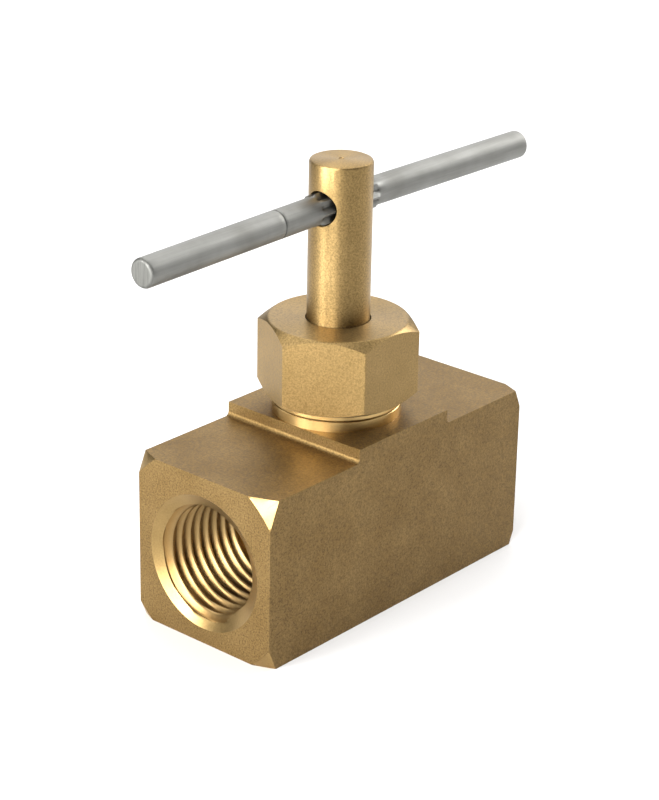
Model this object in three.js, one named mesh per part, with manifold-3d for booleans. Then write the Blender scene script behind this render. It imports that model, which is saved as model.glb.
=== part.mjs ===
// A small brass needle valve with a cross-bar handle.
//
// Millimetres. +X runs along the flow from inlet to outlet, +Z runs up the stem, and the origin is
// on the base, under the stem's axis. The valve is drawn closed: the needle rests on its seat.
//
// The body is one length of square bar with a raised land and a turned neck. Tapered female pipe
// threads enter both ends. The packing nut screws down over the neck and presses a gland follower
// onto two packing rings round the stem. Turning the bar screws the stem up and lifts the needle.

import * as THREE from 'three';
import { mergeVertices } from 'three/addons/utils/BufferGeometryUtils.js';
import Module from 'manifold-3d';

const wasm = await Module();
wasm.setup();

// Driving dimensions: the body.
const BODY_LENGTH = 42.4;
const BODY_WIDTH = 19.05;
const BODY_HEIGHT = 19.5;
const LAND_TOP = 21.1;
const LAND_LEFT = -7.2;
const LAND_RIGHT = 7.7;
const LAND_FOOT_RADIUS = 0.5;
const INLET_CHAMFER_RADIUS = 12.0;
const OUTLET_CHAMFER_RADIUS = 12.6;
const END_CHAMFER_WIDTH = 3.4;
const END_CHAMFER_SLOPE = 0.65;
const END_TURNING_OFFSET = 0.3;

// The pipe threads, 19 to the inch on a 1 in 16 taper, each seen as a stack of V-grooves.
const PORT_HEIGHT = 9.5;
const PORT_MOUTH_RADIUS = 7.75;
const PORT_MOUTH_DEPTH = 0.85;
const PORT_THREAD_PITCH = 25.4 / 19;
const PORT_THREAD_MAJOR = 6.8;
const PORT_THREAD_MINOR = 5.95;
const PORT_THREAD_TURNS = 8;
const PORT_TAPER = 1 / 32;
const PORT_DRILL_RADIUS = 5.55;
const PORT_DRILL_DEPTH = 13.5;
const DRILL_POINT_SLOPE = Math.tan(THREE.MathUtils.degToRad(31));

// The flow path and the bores under the stem.
const PASSAGE_RADIUS = 1.6;
const PASSAGE_REACH = 8.4;
const INLET_PASSAGE_HEIGHT = 6.0;
const OUTLET_PASSAGE_HEIGHT = 11.8;
const SEAT_HEIGHT = 9.6;
const CHAMBER_RADIUS = 3.1;
const CHAMBER_TOP = 18.9;
const STEM_THREAD_BORE = 4.05;
const BOX_FLOOR = 25.4;
const BOX_RADIUS = 4.9;

// The neck and its thread, 20 to the inch, and the turned boss it stands on.
const BOSS_RADIUS = 7.15;
const BOSS_TOP = 22.25;
const NECK_RADIUS = 6.35;
const NECK_THREAD_ROOT = 5.75;
const NECK_THREAD_START = 23.0;
const NECK_THREAD_PITCH = 25.4 / 20;
const NECK_TOP = 29.0;
const NECK_CHAMFER = 0.45;

// The packing nut.
const NUT_ACROSS_FLATS = 15.6;
const NUT_SKIRT_BOTTOM = 22.35;
const NUT_SKIRT_RADIUS = 7.2;
const NUT_SKIRT_CHAMFER = 0.12;
const NUT_HEX_BOTTOM = 23.0;
const NUT_FOOT_RADIUS = 7.6;
const NUT_FOOT_SLOPE = Math.tan(THREE.MathUtils.degToRad(30));
const NUT_TOP = 31.7;
const NUT_TOP_FLAT_RADIUS = 7.62;
const NUT_CHAMFER_SLOPE = Math.tan(THREE.MathUtils.degToRad(36));
const NUT_BORE_RADIUS = 6.42;
const NUT_CEILING = 30.0;
const NUT_STEM_HOLE = 3.6;

// The stem and needle. The needle is a 60 degree cone.
const STEM_RADIUS = 3.46;
const STEM_TOP = 49.6;
const STEM_TOP_CHAMFER = 0.35;
const NEEDLE_TIP_RADIUS = 0.4;
const NEEDLE_TIP_HEIGHT = 7.6;
const NEEDLE_SLOPE = Math.tan(THREE.MathUtils.degToRad(30));
const NEEDLE_SHANK_RADIUS = 2.3;
const NEEDLE_SHANK_TOP = 13.6;
const PISTON_RADIUS = 2.98;
const PISTON_BOTTOM = 13.9;
const STEM_THREAD_BOTTOM = 19.15;
const STEM_THREAD_TOP = 22.9;
const STEM_THREAD_CREST = 3.95;
const STEM_THREAD_ROOT = 3.4;
const STEM_THREAD_PITCH = 1.0;
const BAR_HOLE_RADIUS = 1.95;

// The O-ring and its groove in the stem.
const GROOVE_RADIUS = 1.7;
const GROOVE_BOTTOM = 14.5;
const GROOVE_TOP = 16.4;
const O_RING_SECTION_RADIUS = 0.68;

// The packing, its washer and the gland follower.
const PACKED_BORE = 3.56;
const PACKED_OUTER = 4.8;
const WASHER_BOTTOM = 25.45;
const WASHER_TOP = 26.15;
const PACKING_RING_COUNT = 2;
const PACKING_RING_HEIGHT = 1.25;
const PACKING_GAP = 0.05;
const GLAND_NOSE_TOP = 29.3;
const GLAND_TOP = 29.95;
const GLAND_FLANGE_RADIUS = 5.6;

// The cross bar: 1/8 inch rod, driven through the stem, with a coarse straight knurl at its middle.
const BAR_HEIGHT = 44.8;
const BAR_RADIUS = 1.5875;
const BAR_LEFT_LENGTH = 30.55;
const BAR_RIGHT_LENGTH = 30.15;
const BAR_END_CHAMFER = 0.45;
const KNURL_HALF_LENGTH = 4.8;
const KNURL_SPLINES = 8;
const KNURL_MEAN_RADIUS = 1.6;
const KNURL_DEPTH = 0.14;
const KNURL_RUNOUT = 0.5;
const BAR_BEND_LEFT = Math.tan(THREE.MathUtils.degToRad(1.35));
const BAR_BEND_RIGHT = Math.tan(THREE.MathUtils.degToRad(1.62));
const BAR_BEND_EASE = 3.0;

const ROUND_SEGMENTS = 32;

const BRASS_CAST = { color: 0xb5975f, roughness: 0.55, metalness: 1.0 };
const BRASS_TURNED = { color: 0xc9a35c, roughness: 0.28, metalness: 1.0 };
const STEEL_BAR = { color: 0xb3b1a6, roughness: 0.3, metalness: 1.0 };
const WHITE_PACKING = { color: 0xf0efe9, roughness: 0.5, metalness: 0.0 };
const BLACK_RUBBER = { color: 0x1b1b1b, roughness: 0.75, metalness: 0.0 };

// Joins the shared corners of a closed mesh and hands it over as a solid.
function solidFrom(geometry) {
  const bare = geometry.clone();
  bare.deleteAttribute('normal');
  bare.deleteAttribute('uv');
  const merged = mergeVertices(bare, 1e-4);
  const corners = Array.from(merged.index.array);
  const kept = [];
  for (let i = 0; i < corners.length; i += 3) {
    const [a, b, c] = corners.slice(i, i + 3);
    if (a !== b && b !== c && c !== a) kept.push(a, b, c);
  }
  const mesh = new wasm.Mesh({
    numProp: 3,
    vertProperties: new Float32Array(merged.attributes.position.array),
    triVerts: new Uint32Array(kept),
  });
  return new wasm.Manifold(mesh);
}

function geometryFrom(solid) {
  const mesh = solid.getMesh();
  const geometry = new THREE.BufferGeometry();
  geometry.setAttribute('position', new THREE.BufferAttribute(mesh.vertProperties, 3));
  geometry.setIndex(new THREE.BufferAttribute(mesh.triVerts, 1));
  geometry.computeVertexNormals();
  return geometry;
}

// Turns a profile of [radius, height] points round the Z axis.
function turned(profile, segments = ROUND_SEGMENTS) {
  const points = profile.map(([radius, height]) => new THREE.Vector2(radius, height));
  return new THREE.LatheGeometry(points, segments).rotateX(Math.PI / 2);
}

function turnedSolid(profile) {
  return solidFrom(turned(profile));
}

// A round rod along X from one end to the other, at a height above the base.
function rodAlongX(radius, fromX, toX, height) {
  const rod = new THREE.CylinderGeometry(radius, radius, toX - fromX, ROUND_SEGMENTS);
  rod.rotateZ(Math.PI / 2);
  rod.translate((fromX + toX) / 2, 0, height);
  return solidFrom(rod);
}

// V-grooves up a shaft or bore: alternate crest and root points, a pitch apart.
function ringProfile(start, end, pitch, crest, root) {
  const points = [];
  for (let height = start; height + pitch <= end + 1e-6; height += pitch) {
    points.push([crest, height]);
    points.push([root, height + pitch / 2]);
  }
  points.push([crest, end]);
  return points;
}

// A straight tube or ring, as a profile that closes on itself.
function ring(inner, outer, bottom, top) {
  return turned([[inner, bottom], [outer, bottom], [outer, top], [inner, top], [inner, bottom]]);
}

function barSectionWithLand() {
  const half = BODY_LENGTH / 2;
  const foot = LAND_FOOT_RADIUS;
  const outline = new THREE.Shape();
  outline.moveTo(-half, 0);
  outline.lineTo(half, 0);
  outline.lineTo(half, BODY_HEIGHT);
  outline.lineTo(LAND_RIGHT + foot, BODY_HEIGHT);
  outline.absarc(LAND_RIGHT + foot, BODY_HEIGHT + foot, foot, 1.5 * Math.PI, Math.PI, true);
  outline.lineTo(LAND_RIGHT, LAND_TOP);
  outline.lineTo(LAND_LEFT, LAND_TOP);
  outline.absarc(LAND_LEFT - foot, BODY_HEIGHT + foot, foot, 0, 1.5 * Math.PI, true);
  outline.lineTo(-half, BODY_HEIGHT);
  outline.closePath();
  const block = new THREE.ExtrudeGeometry(outline, {
    depth: BODY_WIDTH,
    bevelEnabled: false,
    curveSegments: 4,
  });
  block.rotateX(Math.PI / 2);
  block.translate(0, BODY_WIDTH / 2, 0);
  return solidFrom(block);
}

// The lathe cut that breaks the four corners at each end. It runs slightly off the ports' line.
function endTurning() {
  const half = BODY_LENGTH / 2;
  const depth = END_CHAMFER_WIDTH * END_CHAMFER_SLOPE;
  const envelope = turned([
    [0, -half],
    [INLET_CHAMFER_RADIUS, -half],
    [INLET_CHAMFER_RADIUS + END_CHAMFER_WIDTH, -half + depth],
    [OUTLET_CHAMFER_RADIUS + END_CHAMFER_WIDTH, half - depth],
    [OUTLET_CHAMFER_RADIUS, half],
    [0, half],
  ], 2 * ROUND_SEGMENTS);
  envelope.rotateY(Math.PI / 2);
  envelope.translate(0, END_TURNING_OFFSET, PORT_HEIGHT);
  return solidFrom(envelope);
}

function neck() {
  return turnedSolid([
    [0, BODY_HEIGHT],
    [BOSS_RADIUS, BODY_HEIGHT],
    [BOSS_RADIUS, BOSS_TOP],
    [NECK_RADIUS, BOSS_TOP],
    ...ringProfile(NECK_THREAD_START, NECK_TOP - NECK_CHAMFER, NECK_THREAD_PITCH,
      NECK_RADIUS, NECK_THREAD_ROOT),
    [NECK_RADIUS - NECK_CHAMFER, NECK_TOP],
    [0, NECK_TOP],
  ]);
}

// One port: mouth countersink, tapered thread, drilled hole and drill point. It opens towards -Z.
function portCutter() {
  const open = 1;
  const profile = [
    [0, -open],
    [PORT_MOUTH_RADIUS + open, -open],
    [PORT_MOUTH_RADIUS - PORT_MOUTH_DEPTH, PORT_MOUTH_DEPTH],
  ];
  for (let turn = 0; turn < PORT_THREAD_TURNS; turn += 1) {
    const crestDepth = PORT_MOUTH_DEPTH + (turn + 0.5) * PORT_THREAD_PITCH;
    const rootDepth = crestDepth + PORT_THREAD_PITCH / 2;
    const crest = Math.max(PORT_THREAD_MINOR - crestDepth * PORT_TAPER, PORT_DRILL_RADIUS);
    profile.push([crest, crestDepth]);
    profile.push([PORT_THREAD_MAJOR - rootDepth * PORT_TAPER, rootDepth]);
  }
  const lastDepth = PORT_MOUTH_DEPTH + (PORT_THREAD_TURNS + 0.5) * PORT_THREAD_PITCH;
  profile.push([PORT_DRILL_RADIUS, lastDepth]);
  profile.push([PORT_DRILL_RADIUS, PORT_DRILL_DEPTH]);
  profile.push([0, PORT_DRILL_DEPTH + PORT_DRILL_RADIUS * DRILL_POINT_SLOPE]);
  return turned(profile);
}

function inletPort() {
  const port = portCutter().rotateY(Math.PI / 2);
  return solidFrom(port.translate(-BODY_LENGTH / 2, 0, PORT_HEIGHT));
}

function outletPort() {
  const port = portCutter().rotateY(-Math.PI / 2);
  return solidFrom(port.translate(BODY_LENGTH / 2, 0, PORT_HEIGHT));
}

// The bores under the stem: orifice, chamber, stem thread and packing box.
function stemBores() {
  const open = 1;
  return turnedSolid([
    [0, INLET_PASSAGE_HEIGHT],
    [PASSAGE_RADIUS, INLET_PASSAGE_HEIGHT],
    [PASSAGE_RADIUS, SEAT_HEIGHT],
    [CHAMBER_RADIUS, SEAT_HEIGHT],
    [CHAMBER_RADIUS, CHAMBER_TOP],
    [STEM_THREAD_BORE, CHAMBER_TOP],
    [STEM_THREAD_BORE, BOX_FLOOR],
    [BOX_RADIUS, BOX_FLOOR],
    [BOX_RADIUS, NECK_TOP + open],
    [0, NECK_TOP + open],
  ]);
}

function valveBody() {
  const blank = barSectionWithLand().intersect(endTurning()).add(neck());
  const inletPassage = rodAlongX(PASSAGE_RADIUS, -PASSAGE_REACH, PASSAGE_RADIUS,
    INLET_PASSAGE_HEIGHT);
  const outletPassage = rodAlongX(PASSAGE_RADIUS, 0, PASSAGE_REACH, OUTLET_PASSAGE_HEIGHT);
  const bored = blank.subtract(stemBores()).subtract(inletPassage).subtract(outletPassage);
  return geometryFrom(bored.subtract(inletPort()).subtract(outletPort()));
}

// The hexagon's corners are on the X axis, and its top and bottom corners are turned off.
function packingNut() {
  const cornerRadius = NUT_ACROSS_FLATS / Math.sqrt(3);
  const hexHeight = NUT_TOP - NUT_HEX_BOTTOM;
  const hex = new THREE.CylinderGeometry(cornerRadius, cornerRadius, hexHeight, 6);
  hex.rotateX(Math.PI / 2);
  hex.rotateZ(Math.PI / 2);
  hex.translate(0, 0, NUT_HEX_BOTTOM + hexHeight / 2);
  const wide = cornerRadius + 1;
  const chamferDrop = (wide - NUT_TOP_FLAT_RADIUS) * NUT_CHAMFER_SLOPE;
  const footRise = (wide - NUT_FOOT_RADIUS) * NUT_FOOT_SLOPE;
  const turning = turned([
    [0, NUT_HEX_BOTTOM],
    [NUT_FOOT_RADIUS, NUT_HEX_BOTTOM],
    [wide, NUT_HEX_BOTTOM + footRise],
    [wide, NUT_TOP - chamferDrop],
    [NUT_TOP_FLAT_RADIUS, NUT_TOP],
    [0, NUT_TOP],
  ], 2 * ROUND_SEGMENTS);
  const skirt = turnedSolid([
    [0, NUT_SKIRT_BOTTOM],
    [NUT_SKIRT_RADIUS - NUT_SKIRT_CHAMFER, NUT_SKIRT_BOTTOM],
    [NUT_SKIRT_RADIUS, NUT_SKIRT_BOTTOM + NUT_SKIRT_CHAMFER],
    [NUT_SKIRT_RADIUS, NUT_HEX_BOTTOM + 0.5],
    [0, NUT_HEX_BOTTOM + 0.5],
  ]);
  const bore = turnedSolid([
    [0, NUT_SKIRT_BOTTOM - 1],
    [NUT_BORE_RADIUS, NUT_SKIRT_BOTTOM - 1],
    [NUT_BORE_RADIUS, NUT_CEILING],
    [NUT_STEM_HOLE, NUT_CEILING],
    [NUT_STEM_HOLE, NUT_TOP + 1],
    [0, NUT_TOP + 1],
  ]);
  return geometryFrom(solidFrom(hex).intersect(solidFrom(turning)).add(skirt).subtract(bore));
}

function stem() {
  const needleRise = (NEEDLE_SHANK_RADIUS - NEEDLE_TIP_RADIUS) / NEEDLE_SLOPE;
  const shaft = turnedSolid([
    [0, NEEDLE_TIP_HEIGHT],
    [NEEDLE_TIP_RADIUS, NEEDLE_TIP_HEIGHT],
    [NEEDLE_SHANK_RADIUS, NEEDLE_TIP_HEIGHT + needleRise],
    [NEEDLE_SHANK_RADIUS, NEEDLE_SHANK_TOP],
    [PISTON_RADIUS, PISTON_BOTTOM],
    [PISTON_RADIUS, GROOVE_BOTTOM],
    [GROOVE_RADIUS, GROOVE_BOTTOM],
    [GROOVE_RADIUS, GROOVE_TOP],
    [PISTON_RADIUS, GROOVE_TOP],
    [PISTON_RADIUS, STEM_THREAD_BOTTOM],
    ...ringProfile(STEM_THREAD_BOTTOM, STEM_THREAD_TOP, STEM_THREAD_PITCH,
      STEM_THREAD_CREST, STEM_THREAD_ROOT),
    [STEM_RADIUS, STEM_THREAD_TOP],
    [STEM_RADIUS, STEM_TOP - STEM_TOP_CHAMFER],
    [STEM_RADIUS - STEM_TOP_CHAMFER, STEM_TOP],
    [0, STEM_TOP],
  ]);
  const reach = STEM_RADIUS + 1;
  return geometryFrom(shaft.subtract(rodAlongX(BAR_HOLE_RADIUS, -reach, reach, BAR_HEIGHT)));
}

function stemORing() {
  const centre = (GROOVE_RADIUS + CHAMBER_RADIUS) / 2;
  const ringShape = new THREE.TorusGeometry(centre, O_RING_SECTION_RADIUS, 10, ROUND_SEGMENTS);
  ringShape.translate(0, 0, (GROOVE_BOTTOM + GROOVE_TOP) / 2);
  return ringShape;
}

function packingRing(index) {
  const bottom = WASHER_TOP + PACKING_GAP + index * (PACKING_RING_HEIGHT + PACKING_GAP);
  return ring(PACKED_BORE - 0.05, PACKED_OUTER + 0.05, bottom, bottom + PACKING_RING_HEIGHT);
}

function glandFollower() {
  const packingTop = WASHER_TOP + PACKING_RING_COUNT * (PACKING_RING_HEIGHT + PACKING_GAP);
  return turned([
    [PACKED_BORE, packingTop + PACKING_GAP],
    [PACKED_OUTER, packingTop + PACKING_GAP],
    [PACKED_OUTER, GLAND_NOSE_TOP],
    [GLAND_FLANGE_RADIUS, GLAND_NOSE_TOP],
    [GLAND_FLANGE_RADIUS, GLAND_TOP],
    [PACKED_BORE, GLAND_TOP],
    [PACKED_BORE, packingTop + PACKING_GAP],
  ]);
}

// The bar is turned straight, splined at its middle, and then set slightly bent by driving it in.
function teeBar() {
  const stations = [];
  const tip = BAR_RADIUS - BAR_END_CHAMFER;
  stations.push([0, -BAR_LEFT_LENGTH], [tip, -BAR_LEFT_LENGTH]);
  stations.push([BAR_RADIUS, -BAR_LEFT_LENGTH + BAR_END_CHAMFER]);
  stations.push([BAR_RADIUS, -KNURL_HALF_LENGTH - KNURL_RUNOUT]);
  for (let along = -KNURL_HALF_LENGTH; along <= KNURL_HALF_LENGTH; along += KNURL_HALF_LENGTH / 3) {
    stations.push([BAR_RADIUS, along]);
  }
  stations.push([BAR_RADIUS, KNURL_HALF_LENGTH + KNURL_RUNOUT]);
  stations.push([BAR_RADIUS, BAR_RIGHT_LENGTH - BAR_END_CHAMFER]);
  stations.push([tip, BAR_RIGHT_LENGTH], [0, BAR_RIGHT_LENGTH]);
  const bar = turned(stations, 4 * KNURL_SPLINES);
  const position = bar.attributes.position;
  const corner = new THREE.Vector3();
  for (let i = 0; i < position.count; i += 1) {
    corner.fromBufferAttribute(position, i);
    if (Math.abs(corner.z) <= KNURL_HALF_LENGTH + 1e-6) {
      const around = Math.atan2(corner.y, corner.x);
      const radius = KNURL_MEAN_RADIUS + KNURL_DEPTH * Math.cos(KNURL_SPLINES * around);
      corner.x = radius * Math.cos(around);
      corner.y = radius * Math.sin(around);
    }
    const slope = corner.z < 0 ? BAR_BEND_LEFT : BAR_BEND_RIGHT;
    corner.y -= slope * (Math.hypot(corner.z, BAR_BEND_EASE) - BAR_BEND_EASE);
    position.setXYZ(i, corner.x, corner.y, corner.z);
  }
  bar.rotateY(Math.PI / 2);
  bar.translate(0, 0, BAR_HEIGHT);
  return bar;
}

const valve = new THREE.Group();

function addPiece(name, geometry, finish) {
  const piece = new THREE.Mesh(geometry, new THREE.MeshStandardMaterial(finish));
  piece.name = name;
  valve.add(piece);
}

addPiece('valve_body', valveBody(), BRASS_CAST);
addPiece('packing_nut', packingNut(), BRASS_TURNED);
addPiece('gland_follower', glandFollower(), BRASS_TURNED);
for (let index = 0; index < PACKING_RING_COUNT; index += 1) {
  addPiece(`packing_ring_${index + 1}`, packingRing(index), WHITE_PACKING);
}
addPiece('packing_washer', ring(PACKED_BORE, PACKED_OUTER, WASHER_BOTTOM, WASHER_TOP), BRASS_TURNED);
addPiece('stem', stem(), BRASS_TURNED);
addPiece('stem_o_ring', stemORing(), BLACK_RUBBER);
addPiece('tee_bar', teeBar(), STEEL_BAR);

export default valve;
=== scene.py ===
# %% [markdown]
# # A small brass needle valve, finished like the real one
#
# A needle valve lets a little fluid through a small hole and shuts it with a cone on a screwed
# stem. This one is a length of square brass bar with a pipe thread in each end, a turned neck, a
# hexagonal packing nut, a stem and a steel cross bar. The frame gives every part's place, body
# and joint. This lesson makes the fine surfaces: real helical threads, softened edges, the
# knurled bar and the metals.

import math

import bmesh
import bpy
from mathutils import Matrix, Quaternion, Vector


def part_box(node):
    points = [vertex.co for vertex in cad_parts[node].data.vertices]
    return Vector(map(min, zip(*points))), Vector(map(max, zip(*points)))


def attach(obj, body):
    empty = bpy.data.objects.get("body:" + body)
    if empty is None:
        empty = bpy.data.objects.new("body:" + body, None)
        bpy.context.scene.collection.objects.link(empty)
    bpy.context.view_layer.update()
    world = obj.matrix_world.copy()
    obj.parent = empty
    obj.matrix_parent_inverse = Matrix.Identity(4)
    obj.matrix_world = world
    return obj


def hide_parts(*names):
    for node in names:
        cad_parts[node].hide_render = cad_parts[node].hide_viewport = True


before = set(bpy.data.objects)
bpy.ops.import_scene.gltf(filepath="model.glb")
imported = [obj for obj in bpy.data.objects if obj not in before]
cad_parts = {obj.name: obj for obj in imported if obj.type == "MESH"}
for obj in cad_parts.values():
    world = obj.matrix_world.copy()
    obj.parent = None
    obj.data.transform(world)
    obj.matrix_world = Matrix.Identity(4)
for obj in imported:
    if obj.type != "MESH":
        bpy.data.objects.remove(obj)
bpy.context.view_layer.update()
scene = bpy.context.scene
MM = 0.001
TURN = 2 * math.pi

# %% [markdown]
# ## The maker's tools
#
# Every part of this valve comes off a lathe, a mill, a tap or a die, so a few helpers that copy
# those tools are enough. A shape is written in millimetres, because the drawing is, and becomes
# metres as its mesh is made. The alternative, modelling each part by hand in the viewport, would
# leave no dimensions to check.

# %% Turn a mesh into a piece
def piece_from(name, bm):
    """Closes up a bmesh drawn in millimetres and adds it to the scene as an object."""
    bmesh.ops.remove_doubles(bm, verts=bm.verts, dist=0.001)
    bmesh.ops.dissolve_degenerate(bm, edges=bm.edges, dist=0.0005)
    bmesh.ops.recalc_face_normals(bm, faces=bm.faces)
    bmesh.ops.scale(bm, vec=Vector((MM, MM, MM)), verts=bm.verts)
    mesh = bpy.data.meshes.new(name)
    bm.to_mesh(mesh)
    bm.free()
    piece = bpy.data.objects.new(name, mesh)
    scene.collection.objects.link(piece)
    return piece


def set_modifiers(piece):
    """Makes the modifiers part of the mesh."""
    ready = piece.evaluated_get(bpy.context.evaluated_depsgraph_get())
    finished = bpy.data.meshes.new_from_object(ready)
    spare = piece.data
    piece.modifiers.clear()
    piece.data = finished
    bpy.data.meshes.remove(spare)
    finished.name = piece.name


# %% [markdown]
# ### Turning
#
# A lathe part is a set of rings. The same skin over rings makes a plain turned part, a bar with
# splines and, when each row climbs by one pitch as it goes round, a screw thread. The rows then
# run along the thread's own crests and roots, so the crest stays a crisp line. A straight grid
# would cut across it and leave a saw edge.

# %% Skin a stack of rings
def skin(rings, climb_rows=0):
    """Joins rings of points. With climb_rows, a row's end meets the start of the row that many up."""
    bm = bmesh.new()
    rows = [[bm.verts.new(point) for point in ring] for ring in rings]
    around = len(rings[0])
    for low in range(len(rows) - 1 - climb_rows):
        for step in range(around):
            wraps = step == around - 1
            beside = 0 if wraps else step + 1
            lift = climb_rows if wraps else 0
            corners = (
                rows[low][step],
                rows[low + lift][beside],
                rows[low + lift + 1][beside],
                rows[low + 1][step],
            )
            bm.faces.new(corners)
    bmesh.ops.remove_doubles(bm, verts=bm.verts, dist=0.001)
    loose = [vert for vert in bm.verts if not vert.link_faces]
    bmesh.ops.delete(bm, geom=loose, context="VERTS")
    rims = [edge for edge in bm.edges if edge.is_boundary]
    bmesh.ops.holes_fill(bm, edges=rims, sides=0)
    return bm


def turned(name, profile, around=128):
    """A part turned about Z from [radius, height] points, solid between its end faces."""
    rings = []
    for radius, height in profile:
        angles = [TURN * step / around for step in range(around)]
        rings.append([Vector((radius * math.cos(a), radius * math.sin(a), height)) for a in angles])
    return piece_from(name, skin(rings))


def turned_ring(name, section, around=128):
    """A ring turned about Z from a closed section of [radius, height] points."""
    bm = bmesh.new()
    rows = []
    for radius, height in section:
        angles = [TURN * step / around for step in range(around)]
        rows.append([bm.verts.new((radius * math.cos(a), radius * math.sin(a), height)) for a in angles])
    for here, row in enumerate(rows):
        above = rows[(here + 1) % len(rows)]
        for step in range(around):
            beside = (step + 1) % around
            bm.faces.new((row[step], row[beside], above[beside], above[step]))
    return piece_from(name, bm)


def screwed(name, radius_at, low, high, pitch, around=128, rows_per_pitch=16):
    """A right-hand screw about Z. radius_at(height, turns) is the radius at a height and angle."""
    row_height = pitch / rows_per_pitch
    row_count = math.ceil((high - low) / row_height) + 3 * rows_per_pitch + 2
    rings = []
    for row in range(row_count):
        ring = []
        for step in range(around):
            turns = step / around
            height = low + (row - 2 * rows_per_pitch) * row_height + pitch * turns
            height = min(max(height, low), high)
            radius = radius_at(height, turns)
            ring.append(Vector((radius * math.cos(TURN * turns), radius * math.sin(TURN * turns), height)))
        rings.append(ring)
    return piece_from(name, skin(rings, rows_per_pitch))


# %% [markdown]
# ### The thread form
#
# Every thread here is the common 60 degree form: a narrow flat on the crest, straight flanks and a
# narrow flat in the root. One function gives how deep the groove is at a height and angle, and
# all the threads on this valve are made from it, outside and inside.

# %% The 60 degree thread form
FLAT_SHARE = 1 / 8


def groove_depth(height, turns, pitch):
    """How far down the groove a point is: 0 on the crest, 1 in the root."""
    across = (height / pitch - turns) % 1
    from_root = abs(2 * across - 1)
    flank = (1 - from_root - FLAT_SHARE) / (1 - 2 * FLAT_SHARE)
    return min(max(flank, 0), 1)


def ease(value, start, end):
    """0 before start, 1 after end, smooth between. Works downwards too."""
    share = min(max((value - start) / (end - start), 0), 1)
    return share * share * (3 - 2 * share)


# %% [markdown]
# ### Cutting, joining and breaking edges
#
# A boolean is the drill, tap and mill of mesh work. The exact solver is slower than the fast one
# but keeps thin walls between close cuts, which matters in a tapped hole. A machinist breaks each
# outer edge with a file. A narrow bevel does that, and it is what catches the light.

# %% Cut, join and soften
def combine(piece, tool, operation):
    """Cuts or joins a tool's shape into a piece, and uses the tool up."""
    work = piece.modifiers.new("work", "BOOLEAN")
    work.operation = operation
    work.solver = "EXACT"
    work.object = tool
    set_modifiers(piece)
    spare = tool.data
    bpy.data.objects.remove(tool)
    bpy.data.meshes.remove(spare)


def break_edges(piece, width, segments=2, sharper_than=30):
    """Breaks the piece's sharp edges with a narrow rounded bevel, in millimetres."""
    file_pass = piece.modifiers.new("edges", "BEVEL")
    file_pass.width = width * MM
    file_pass.segments = segments
    file_pass.limit_method = "ANGLE"
    file_pass.angle_limit = math.radians(sharper_than)
    set_modifiers(piece)


FLAT_FACE_AREA = 6 * MM * MM


def smooth_round(piece, sharp_angle=28):
    """Shades round stretches smooth and keeps flats flat."""
    for face in piece.data.polygons:
        face.use_smooth = face.area < FLAT_FACE_AREA
    piece.data.set_sharp_from_angle(angle=math.radians(sharp_angle))
    flats = piece.modifiers.new("flats", "WEIGHTED_NORMAL")
    flats.keep_sharp = True
    flats.weight = 80
    set_modifiers(piece)
    print(piece.name, "has", len(piece.data.polygons), "faces")


def lay_along_x(tool, start, direction, height):
    """Turns a tool made along Z to point along X, starting at a place and height, in millimetres."""
    tip = Matrix.Rotation(direction * math.pi / 2, 4, "Y")
    tool.data.transform(Matrix.Translation(Vector((start, 0, height)) * MM) @ tip)
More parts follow.
